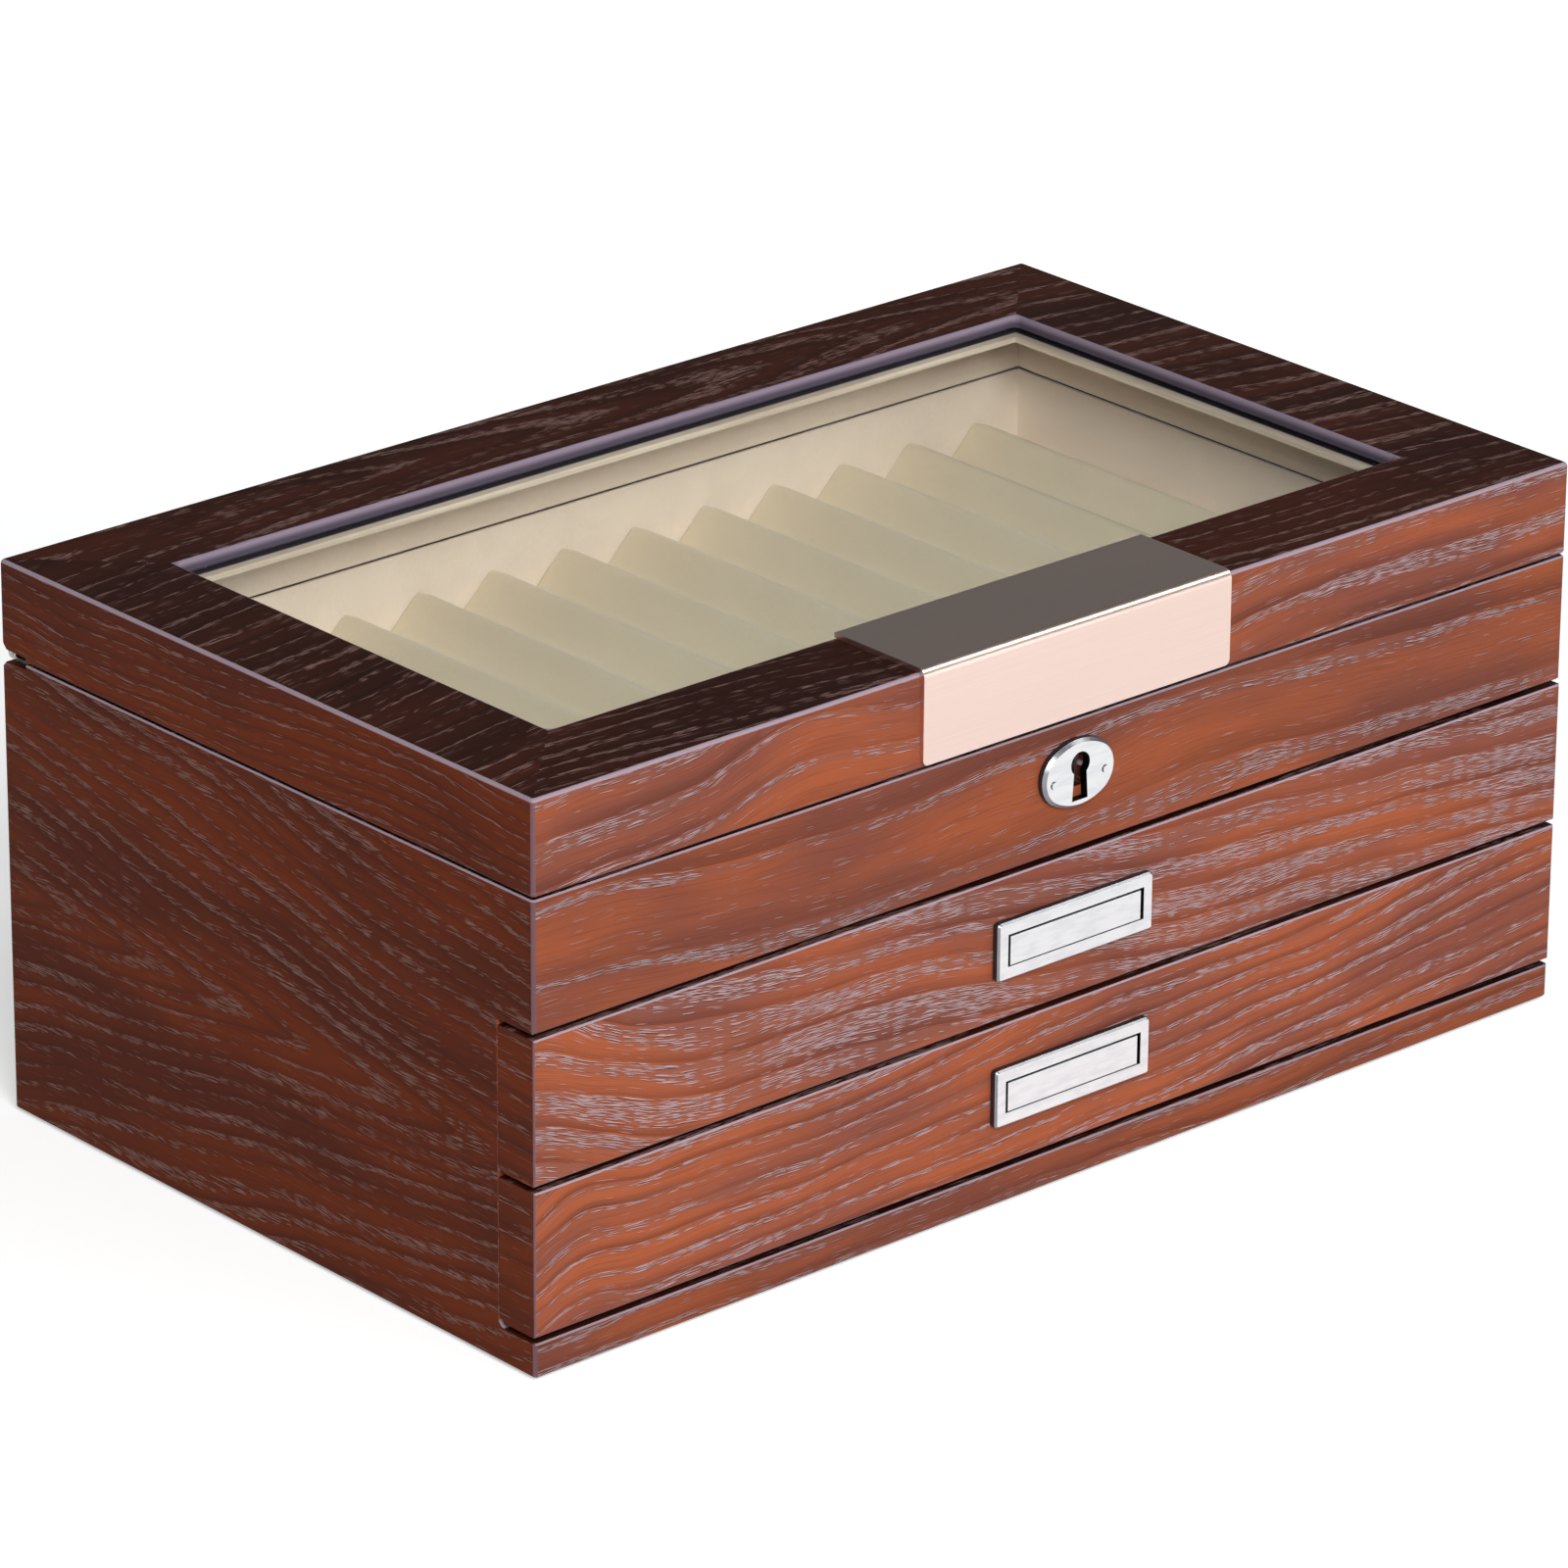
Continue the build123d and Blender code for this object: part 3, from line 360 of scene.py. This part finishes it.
# What each chromed plate's opening takes up: half its width, half its height, and where its walls begin
platesOpen = {"escutcheon": (3.6, 7.6, -100.0), "escutcheon_pins": (0.0, 0.0, 0.0), "pull": (23.2, 4.4, -99.65)}
clearGlass = {"tint": (0.97, 0.99, 0.98, 1.0), "through": (0.97, 0.985, 0.98, 1.0), "bend": 1.01, "coat": 0.6,
              "coatBend": 1.45, "smear": 0.06}


def woodMaterial(name, look):
    material, tree, shader = newMaterial(name)
    place, normal = objectMillimetres(tree)
    grain = noise(tree, vectorCalc(tree, "MULTIPLY", place, (0.02, 0.02, 0.9)), 1.0, 4.0, 0.6, 0.6)
    fine = noise(tree, vectorCalc(tree, "MULTIPLY", place, (0.15, 0.15, 5.0)))
    colour = mixColour(tree, ease(tree, grain, 0.35, 0.65), look["light"], look["dark"])
    colour = mixColour(tree, calc(tree, "MULTIPLY", ease(tree, fine, 0.5, 0.7), 0.3), colour, look["dark"])
    # Painted shade: the beads' tops that reach in under the lid rail, past the window edge, are darkened
    if "under" in look:
        away = split(tree, vectorCalc(tree, "ABSOLUTE", place))
        lap = calc(tree, "MAXIMUM", calc(tree, "SUBTRACT", away[0], veneer["windowX"]),
                   calc(tree, "SUBTRACT", away[1], veneer["windowY"]))
        colour = mixColour(tree, calc(tree, "MULTIPLY", ease(tree, lap, *look["lap"]), ease(
            tree, split(tree, normal)[2], 0.4, 0.6)), colour, look["under"])
    feed(tree, shader.inputs["Base Color"], colour)
    feed(tree, shader.inputs["Roughness"], calc(tree, "ADD", look["roughness"], calc(tree, "MULTIPLY", fine, 0.15)))
    feed(tree, shader.inputs["Normal"], bump(tree, fine, 0.25, 0.0001))
    return material


def brushedMaterial(name, look):
    material, tree, shader = newMaterial(name)
    place, _ = objectMillimetres(tree)
    lines = noise(tree, vectorCalc(tree, "MULTIPLY", place, look["lines"]), 1.0, 3.0, 0.65)
    broad = noise(tree, vectorCalc(tree, "MULTIPLY", place, (0.02, 0.05, 0.05)))
    worn = tuple(0.75 * c for c in look["colour"][:3]) + (1.0,)
    feed(tree, shader.inputs["Base Color"], mixColour(tree, calc(tree, "MULTIPLY", ease(tree, lines, 0.3, 0.7),
                                                                 look["streaks"]), look["colour"], worn))
    shader.inputs["Metallic"].default_value = 1.0
    feed(tree, shader.inputs["Roughness"], calc(tree, "ADD", look["roughness"] - 0.06, calc(
        tree, "ADD", calc(tree, "MULTIPLY", lines, 0.10), calc(tree, "MULTIPLY", broad, 0.05))))
    feed(tree, shader.inputs["Normal"], bump(tree, lines, 0.05, 0.00005))
    return material


def chromeMaterial(name, middle, halfWidth, halfHeight, behind):
    look = metals["chrome"]
    material, tree, shader = newMaterial(name)
    place, normal = objectMillimetres(tree)
    x, y, z = split(tree, place)[:3]
    haze = noise(tree, vectorCalc(tree, "MULTIPLY", place, (0.12, 0.3, 0.5)), 1.0, 3.0)
    colour = mixColour(tree, ease(tree, haze, 0.4, 0.65), look["light"], look["dark"])
    # Painted dark reflection: the opening's walls, which see only the dark cup, are coloured near black
    inside = calc(tree, "MULTIPLY", calc(tree, "LESS_THAN", calc(tree, "ABSOLUTE", x), halfWidth), calc(
        tree, "MULTIPLY", calc(tree, "GREATER_THAN", y, behind),
        calc(tree, "LESS_THAN", calc(tree, "ABSOLUTE", calc(tree, "SUBTRACT", z, middle)), halfHeight)))
    # Painted dark reflection: the plates' thickness is given a dark colour, besides being duller
    rim = ease(tree, calc(tree, "ABSOLUTE", split(tree, normal)[1]), 0.92, 0.6)     # the plates' thickness is duller
    colour = mixColour(tree, rim, colour, look["rim"])
    feed(tree, shader.inputs["Base Color"], mixColour(tree, inside, colour, look["inside"]))
    shader.inputs["Metallic"].default_value = 1.0
    feed(tree, shader.inputs["Roughness"], calc(tree, "ADD", look["roughness"], calc(tree, "ADD", calc(
        tree, "MULTIPLY", haze, 0.06), calc(tree, "MULTIPLY", calc(tree, "MAXIMUM", inside, rim), look["dull"]))))
    return material


def glassMaterial():
    material, tree, shader = newMaterial("lid_glass_clear")
    place, _ = objectMillimetres(tree)
    smear = noise(tree, vectorCalc(tree, "MULTIPLY", place, (0.03, 0.05, 0.05)), 1.0, 3.0)
    shader.inputs["Base Color"].default_value = clearGlass["tint"]
    shader.inputs["Transmission Weight"].default_value = 1.0
    shader.inputs["IOR"].default_value = clearGlass["bend"]
    shader.inputs["Roughness"].default_value = 0.0
    shader.inputs["Coat Weight"].default_value = clearGlass["coat"]
    shader.inputs["Coat IOR"].default_value = clearGlass["coatBend"]
    feed(tree, shader.inputs["Coat Roughness"], calc(tree, "MULTIPLY", ease(tree, smear, 0.5, 0.9), clearGlass["smear"]))
    rays = put(tree, "LightPath")
    clear = put(tree, "BsdfTransparent")
    clear.inputs[0].default_value = clearGlass["through"]
    blend = put(tree, "MixShader")
    feed(tree, blend.inputs[0], calc(tree, "MAXIMUM", rays.outputs["Is Shadow Ray"], rays.outputs["Is Diffuse Ray"]))
    tree.links.new(shader.outputs[0], blend.inputs[1])
    tree.links.new(clear.outputs[0], blend.inputs[2])
    tree.links.new(blend.outputs[0], tree.nodes["Material Output"].inputs[0])
    return material


drawerWood = woodMaterial("drawer_wood", plainWood)
steel = brushedMaterial("steel_hardware", metals["steel"])
for name in nodes:
    if name in boards:
        continue
    if name == "lid_glass":
        dress(name, glassMaterial())
    elif name == "lid_glass_beads":
        dress(name, woodMaterial("bead_wood", beadWood))
    elif name == "lid_plate":
        dress(name, brushedMaterial("brushed_stainless", metals["stainless"]))
    elif "pull" in name or name.startswith("escutcheon"):
        middle = sum(corner[2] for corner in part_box(name)) / 2 / mm
        dress(name, chromeMaterial("chrome_" + name, middle, *platesOpen["pull" if "pull" in name else name]))
    elif name.startswith(("hinge", "lock", "strike")):
        dress(name, steel)
    else:
        dress(name, drawerWood)
print("woods, metals and glass done")

# Suede pen rests and linings
suede = {"crown": linear(234, 217, 200), "nap": linear(216, 198, 180),
         "restCrown": linear(216, 200, 174), "restNap": linear(198, 182, 156), "roughness": 0.92}
penRest = {"pitch": 23.2, "crown": 1.6, "rise": 8.0, "valleyRound": 1.0, "crownRound": 0.7, "stepX": 0.45, "stepY": 4.0,
           "edgeReach": 1.2, "edgeSink": 0.5, "fill": 0.9, "trayRidges": 13, "drawerRidges": 12}
liningStrip = {"thickness": 1.0, "edge": 0.35, "edgeSegments": 3}
smoothAngle = math.radians(40)


def suedeMaterial(name, light, dark):
    material, tree, shader = newMaterial(name)
    place, _ = objectMillimetres(tree)
    nap = noise(tree, place, 2.2, 4.0, 0.7)
    brushed = noise(tree, vectorCalc(tree, "MULTIPLY", place, (0.05, 0.02, 0.05)), 1.0, 3.0, 0.55, 0.8)
    shade = calc(tree, "ADD", calc(tree, "MULTIPLY", ease(tree, nap, 0.3, 0.7), 0.45),
                 calc(tree, "MULTIPLY", ease(tree, brushed, 0.35, 0.65), 0.25))
    feed(tree, shader.inputs["Base Color"], mixColour(tree, shade, light, dark))
    feed(tree, shader.inputs["Roughness"], calc(tree, "ADD", suede["roughness"] - 0.04, calc(
        tree, "MULTIPLY", nap, 0.08)))
    shader.inputs["Sheen Weight"].default_value = 0.25
    shader.inputs["Sheen Roughness"].default_value = 0.5
    feed(tree, shader.inputs["Normal"], bump(tree, nap, 0.35, 0.0002))
    return material


suedeCloth = suedeMaterial("suede", suede["crown"], suede["nap"])
restCloth = suedeMaterial("suede_rest", suede["restCrown"], suede["restNap"])


def deselect():
    if bpy.context.object is not None and bpy.context.object.mode != "OBJECT":
        bpy.ops.object.mode_set(mode="OBJECT")
    bpy.ops.object.select_all(action="DESELECT")


def restProfile(x, look):
    near = abs(x - look["pitch"] * round(x / look["pitch"]))
    if abs(x) > look["last"]:
        near = abs(abs(x) - look["lastRidge"])
    slope = look["crown"] / 2 + look["rise"] - near
    rise = look["rise"]
    soft = look["crownRound"]
    height = min(rise, slope)
    gap = abs(rise - slope)
    if gap < soft:
        height -= (soft - gap) ** 2 / (4 * soft)
    foot = look["valleyRound"]
    if slope < foot:
        height = max(0.0, (slope + foot) ** 2 / (4 * foot)) if slope > -foot else 0.0
    return height


def makeRest(name, low, high, valley, body, replaced, ridgeCount):
    look = dict(penRest, lastRidge=(ridgeCount - 1) / 2 * penRest["pitch"])
    look["last"] = look["lastRidge"] + look["pitch"] / 2
    offset = 0.0 if ridgeCount % 2 else look["pitch"] / 2
    sizeX, sizeY = high[0] - low[0], high[1] - low[1]
    deselect()
    bpy.ops.mesh.primitive_grid_add(x_subdivisions=round(sizeX / look["stepX"]),
                                    y_subdivisions=round(sizeY / look["stepY"]), size=1, location=(0, 0, 0))
    rest = bpy.context.object
    rest.name = name
    rest.data.name = name
    for vertex in rest.data.vertices:
        x = low[0] + (vertex.co.x + 0.5) * sizeX
        y = low[1] + (vertex.co.y + 0.5) * sizeY
        sink = 0.0
        for gap in (x - low[0], high[0] - x, y - low[1], high[1] - y):
            sink += look["edgeSink"] * max(0.0, 1.0 - gap / look["edgeReach"]) ** 2
        vertex.co = Vector((x, y, valley + restProfile(x - offset, look) - sink)) * mm
    bpy.ops.object.mode_set(mode="EDIT")
    bpy.ops.mesh.select_mode(type="EDGE")
    bpy.ops.mesh.select_all(action="DESELECT")
    bpy.ops.mesh.select_non_manifold()
    bpy.ops.mesh.extrude_region_move(TRANSFORM_OT_translate={"value": (0, 0, -0.01)})
    bpy.ops.transform.resize(value=(1, 1, 0), center_override=(0, 0, low[2] * mm))
    bpy.ops.mesh.edge_face_add()
    bpy.ops.mesh.select_all(action="SELECT")
    bpy.ops.mesh.normals_make_consistent(inside=False)
    bpy.ops.object.mode_set(mode="OBJECT")
    bpy.ops.object.shade_smooth_by_angle(angle=smoothAngle)
    rest.data.materials.append(restCloth)
    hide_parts(*replaced)
    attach(rest, body)


def boxOf(name):
    return [[c / mm for c in corner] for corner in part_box(name)]


trayLow, trayHigh = boxOf("tray_rest_board")
makeRest("tray_pen_rest", trayLow, trayHigh, trayHigh[2], "case", ["tray_rest_board", "tray_rest_ridges"],
         penRest["trayRidges"])
for level in ("upper", "lower"):
    restLow, restHigh = boxOf(f"drawer_{level}_rest_board")
    makeRest(f"drawer_{level}_pen_rest", restLow, restHigh, restHigh[2], f"drawer_{level}",
             [f"drawer_{level}_rest_board", f"drawer_{level}_rest_ridges"], penRest["drawerRidges"])
print("pen rests done")


def makeLining(name, node, body):
    low, high = boxOf(node)
    deselect()
    sizeX, sizeY, sizeZ = (high[n] - low[n] for n in range(3))
    bpy.ops.mesh.primitive_grid_add(x_subdivisions=40, y_subdivisions=24, size=1, location=(0, 0, 0))
    lining = bpy.context.object
    lining.name = name
    lining.data.name = name
    for vertex in lining.data.vertices:
        vertex.co = Vector((low[0] + (vertex.co.x + 0.5) * sizeX, low[1] + (vertex.co.y + 0.5) * sizeY, low[2])) * mm
    bpy.ops.object.mode_set(mode="EDIT")
    bpy.ops.mesh.select_mode(type="EDGE")
    bpy.ops.mesh.select_all(action="DESELECT")
    bpy.ops.mesh.select_non_manifold()
    bpy.ops.mesh.extrude_region_move(TRANSFORM_OT_translate={"value": (0, 0, sizeZ * mm)})
    bpy.ops.mesh.select_mode(type="FACE")
    bpy.ops.mesh.select_all(action="DESELECT")
    bpy.ops.object.mode_set(mode="OBJECT")
    for face in lining.data.polygons:
        face.select = abs(face.normal.z) > 0.5
    bpy.ops.object.mode_set(mode="EDIT")
    bpy.ops.mesh.delete(type="FACE")
    bpy.ops.mesh.select_all(action="SELECT")
    bpy.ops.mesh.normals_make_consistent(inside=False)
    bpy.ops.object.mode_set(mode="OBJECT")
    thick = lining.modifiers.new("thick", "SOLIDIFY")
    thick.thickness = liningStrip["thickness"] * mm
    thick.offset = -1
    bpy.ops.object.modifier_apply(modifier="thick")
    soft = lining.modifiers.new("soft", "BEVEL")
    soft.width = liningStrip["edge"] * mm
    soft.segments = liningStrip["edgeSegments"]
    soft.limit_method = "ANGLE"
    bpy.ops.object.modifier_apply(modifier="soft")
    bpy.ops.object.shade_smooth_by_angle(angle=smoothAngle)
    lining.data.materials.append(suedeCloth)
    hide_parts(node)
    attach(lining, body)


makeLining("tray_suede_lining", "tray_lining", "case")
makeLining("lid_suede_lining", "lid_lining", "lid")
for level in ("upper", "lower"):
    makeLining(f"drawer_{level}_suede_lining", f"drawer_{level}_lining", f"drawer_{level}")
print("linings done")


# Felt under the chest
felt = {"light": linear(52, 46, 46), "dark": linear(34, 30, 31), "corner": 2.5, "cornerSegments": 5, "edge": 0.3,
        "edgeSegments": 2, "edgeAngle": 50}


def feltMaterial():
    material, tree, shader = newMaterial("base_felt_dark")
    place, _ = objectMillimetres(tree)
    fibre = noise(tree, place, 1.6, 5.0, 0.75)
    feed(tree, shader.inputs["Base Color"], mixColour(tree, ease(tree, fibre, 0.3, 0.7), felt["dark"], felt["light"]))
    feed(tree, shader.inputs["Roughness"], calc(tree, "ADD", 0.9, calc(tree, "MULTIPLY", fibre, 0.08)))
    shader.inputs["Sheen Weight"].default_value = 0.2
    feed(tree, shader.inputs["Normal"], bump(tree, fibre, 0.5, 0.0003))
    return material


def makeFelt():
    low, high = boxOf("base_felt")
    deselect()
    bpy.ops.mesh.primitive_cube_add(size=1, location=(0, 0, 0))
    pad = bpy.context.object
    pad.name = "felt_pad"
    pad.data.name = "felt_pad"
    for vertex in pad.data.vertices:
        vertex.co = Vector([low[n] + (vertex.co[n] + 0.5) * (high[n] - low[n]) for n in range(3)]) * mm
    bpy.ops.object.mode_set(mode="EDIT")
    bpy.ops.mesh.select_mode(type="EDGE")
    bpy.ops.mesh.select_all(action="DESELECT")
    bpy.ops.object.mode_set(mode="OBJECT")
    for edge in pad.data.edges:
        a, b = (pad.data.vertices[i].co for i in edge.vertices)
        edge.select = abs(a.z - b.z) > 0.5 * mm
    bpy.ops.object.mode_set(mode="EDIT")
    bpy.ops.mesh.bevel(offset=felt["corner"] * mm, segments=felt["cornerSegments"])
    bpy.ops.object.mode_set(mode="OBJECT")
    soft = pad.modifiers.new("soft", "BEVEL")
    soft.width = felt["edge"] * mm
    soft.segments = felt["edgeSegments"]
    soft.limit_method = "ANGLE"
    soft.angle_limit = math.radians(felt["edgeAngle"])
    bpy.ops.object.modifier_apply(modifier="soft")
    bpy.ops.object.shade_smooth_by_angle(angle=smoothAngle)
    pad.data.materials.append(feltMaterial())
    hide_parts("base_felt")
    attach(pad, "case")


makeFelt()
print("felt done")


# Floor, light and camera
studio = {
    "floorSize": 24, "floor": linear(242, 242, 242), "floorShade": linear(238, 238, 238),
    "near": 0.25, "far": 1.1, "glowNear": 0.42, "glowFar": 0.9,     # metres from the chest, and the white floor's glow
    "mirrored": 0.4,        # its share in reflections
    "horizon": (0.55, 0.55, 0.56, 1), "above": (0.12, 0.13, 0.13, 1),
    "lamps": {      # place, size, power
        "key": ((-1.25, -2.0, 1.7), (1.5, 1.0), 76.0),
        "front": ((0.7, -2.4, 0.55), (1.4, 0.7), 20.0),
        "edge": ((1.45, -0.95, 1.75), (0.6, 0.6), 10.0),
    },
    "aim": (0, 0, 0.06),
}


def makeFloor():
    deselect()
    bpy.ops.mesh.primitive_plane_add(size=studio["floorSize"], location=(0, 0, 0))
    floor = bpy.context.object
    floor.name = "floor"
    material, tree, shader = newMaterial("floor_white")
    place = put(tree, "TexCoord").outputs["Object"]
    mottle = noise(tree, place, 3.0, 2.0)
    feed(tree, shader.inputs["Base Color"], mixColour(tree, mottle, studio["floor"], studio["floorShade"]))
    shader.inputs["Roughness"].default_value = 0.9
    rays = put(tree, "LightPath").outputs
    mirrored = calc(tree, "MULTIPLY", rays["Is Glossy Ray"], studio["mirrored"])
    seen = calc(tree, "MAXIMUM", calc(tree, "MAXIMUM", rays["Is Camera Ray"], rays["Is Transmission Ray"]), mirrored)
    shader.inputs["Emission Color"].default_value = (1, 1, 1, 1)
    x, y = split(tree, place)[:2]
    away = calc(tree, "SQRT", calc(tree, "ADD", calc(tree, "MULTIPLY", x, x), calc(tree, "MULTIPLY", y, y)))
    glow = ease(tree, away, studio["near"], studio["far"], studio["glowNear"], studio["glowFar"])
    feed(tree, shader.inputs["Emission Strength"], calc(tree, "MULTIPLY", seen, glow))
    floor.data.materials.append(material)


makeFloor()

world = bpy.data.worlds.new("studio")
bpy.context.scene.world = world
world.use_nodes = True
sky = world.node_tree
background = sky.nodes["Background"]
up = split(sky, put(sky, "TexCoord").outputs["Generated"])[2]
seen = put(sky, "LightPath").outputs["Is Camera Ray"]
room = mixColour(sky, ease(sky, up, 0.02, 0.22), studio["horizon"], studio["above"])
feed(sky, background.inputs["Color"], mixColour(sky, seen, room, (1, 1, 1, 1)))


def makeLamp(name, place, size, power):
    lamp = bpy.data.lights.new(name, "AREA")
    lamp.shape = "RECTANGLE"
    lamp.size, lamp.size_y = size
    lamp.energy = power
    holder = bpy.data.objects.new(name, lamp)
    bpy.context.scene.collection.objects.link(holder)
    holder.location = place
    holder.rotation_mode = "QUATERNION"
    holder.rotation_quaternion = (Vector(studio["aim"]) - Vector(place)).to_track_quat("-Z", "Y")


for name, (place, size, power) in studio["lamps"].items():
    makeLamp(name, place, size, power)

view = {"azimuth": -41.751, "elevation": 22.512, "roll": 0.429, "place": (-1.30532, -1.46246, 0.88344),
        "lens": 200.4, "sensor": 36.0, "shift": (-0.00685, 0.00207), "clip": (0.05, 60)}
camera = bpy.data.objects.new("camera", bpy.data.cameras.new("camera"))
bpy.context.scene.collection.objects.link(camera)
bpy.context.scene.camera = camera
turn, tilt = math.radians(view["azimuth"]), math.radians(view["elevation"])
ahead = Vector((-math.sin(turn) * math.cos(tilt), math.cos(turn) * math.cos(tilt), -math.sin(tilt)))
camera.location = view["place"]
camera.rotation_mode = "QUATERNION"
camera.rotation_quaternion = ahead.to_track_quat("-Z", "Y") @ Quaternion((0, 0, 1), math.radians(view["roll"]))
camera.data.sensor_width = view["sensor"]
camera.data.lens = view["lens"]
camera.data.shift_x, camera.data.shift_y = view["shift"]
camera.data.clip_start, camera.data.clip_end = view["clip"]

bpy.context.scene.view_settings.view_transform = "Standard"
print("floor, light and camera done")
